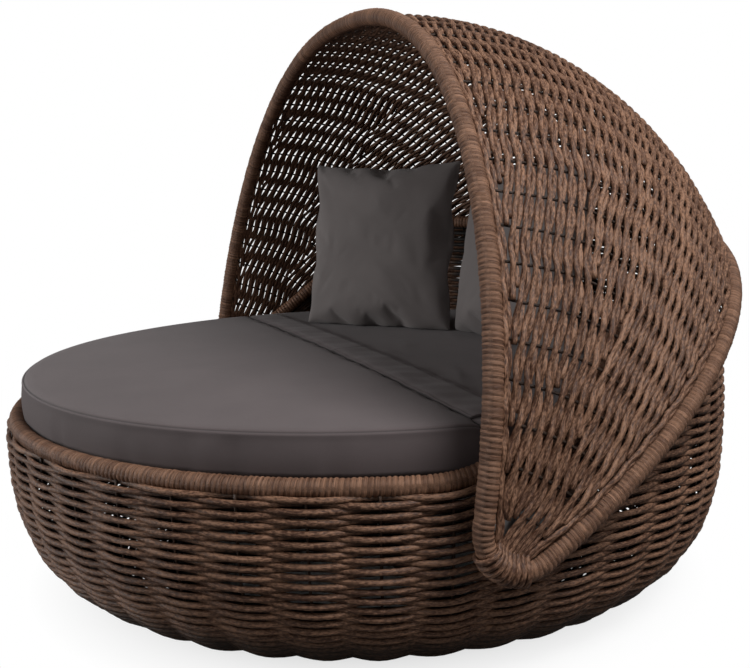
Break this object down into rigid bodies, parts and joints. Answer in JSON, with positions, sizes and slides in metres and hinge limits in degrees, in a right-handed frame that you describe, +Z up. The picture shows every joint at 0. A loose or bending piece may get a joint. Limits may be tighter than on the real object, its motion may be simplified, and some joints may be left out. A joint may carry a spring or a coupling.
{
  "type": "outdoor daybed with canopy",
  "caption": "Round woven outdoor daybed: bowl base with a raised back, woven canopy on side pivots, split round mattress and loose throw pillows.",
  "frame": {"origin": "middle of the flat underside of the centre glide, on the floor under the middle of the round base", "axes": "+Z up; +Y to the raised back; -Y to the open front; +X is the side on the right hand of a person who stands in front and looks at the seat"},
  "size_m": [1.792, 1.6234, 1.2576],
  "materials": {
    "wicker": "brown resin wicker strands, woven, satin",
    "wicker_wrap": "brown resin wicker wound tightly round a tube, satin",
    "frame_metal": "dark powder coat on aluminium tube",
    "slat_metal": "dark powder coat on flat slats",
    "plain_steel": "plain stainless hardware",
    "nylon": "black nylon",
    "rubber": "black rubber",
    "seat_fabric": "taupe grey outdoor fabric, smooth plain weave",
    "pillow_fabric": "charcoal outdoor fabric, smooth plain weave"
  },
  "bodies": {
    "base": {"bowl_weave": "wicker", "bowl_rim": "wicker_wrap", "bottom_ring": "frame_metal", "bottom_cross": "frame_metal", "centre_post": "frame_metal", "glide_1": "nylon", "glide_2": "nylon", "glide_3": "nylon", "glide_4": "nylon", "glide_5": "nylon", "glide_6": "nylon", "centre_glide": "nylon", "rib_1": "frame_metal", "rib_2": "frame_metal", "rib_3": "frame_metal", "rib_4": "frame_metal", "rib_5": "frame_metal", "rib_6": "frame_metal", "rib_7": "frame_metal", "rib_8": "frame_metal", "pivot_post_right": "frame_metal", "pivot_post_left": "frame_metal", "deck_ring": "frame_metal", "deck_beam": "frame_metal", "deck_slat_1": "slat_metal", "deck_slat_2": "slat_metal", "deck_slat_3": "slat_metal", "deck_slat_4": "slat_metal", "deck_slat_5": "slat_metal", "deck_slat_6": "slat_metal", "deck_slat_7": "slat_metal", "pivot_sleeve_right": "plain_steel", "pivot_sleeve_left": "plain_steel", "pivot_spacer_right": "nylon", "pivot_spacer_left": "nylon", "rear_rest_right": "rubber", "rear_rest_left": "rubber"},
    "canopy": {"canopy_weave": "wicker", "canopy_rim": "wicker_wrap", "canopy_pivot_right": "plain_steel", "canopy_pivot_left": "plain_steel", "pivot_washer_right": "plain_steel", "pivot_washer_left": "plain_steel", "pivot_nut_right": "plain_steel", "pivot_nut_left": "plain_steel"},
    "front_cushion": {"mattress_front": "seat_fabric"},
    "rear_cushion": {"mattress_rear": "seat_fabric", "mattress_band": "seat_fabric"},
    "left_pillow": {"pillow_left": "pillow_fabric"},
    "right_pillow": {"pillow_right": "pillow_fabric"}
  },
  "joints": [
    {"name": "canopy_tilt", "type": "hinge", "parent": "base", "child": "canopy", "pos_m": [0, -0.075, 0.34], "axis": [1, 0, 0], "range_deg": [0, 35]},
    {"name": "front_cushion_lift", "type": "slide", "parent": "base", "child": "front_cushion", "axis": [0, 0, 1], "range_m": [0, 0.05]},
    {"name": "rear_cushion_lift", "type": "slide", "parent": "base", "child": "rear_cushion", "axis": [0, 0, 1], "range_m": [0, 0.05]},
    {"name": "left_pillow_lift", "type": "slide", "parent": "rear_cushion", "child": "left_pillow", "axis": [0, 0, 1], "range_m": [0, 0.05]},
    {"name": "right_pillow_lift", "type": "slide", "parent": "rear_cushion", "child": "right_pillow", "axis": [0, 0, 1], "range_m": [0, 0.05]}
  ]
}
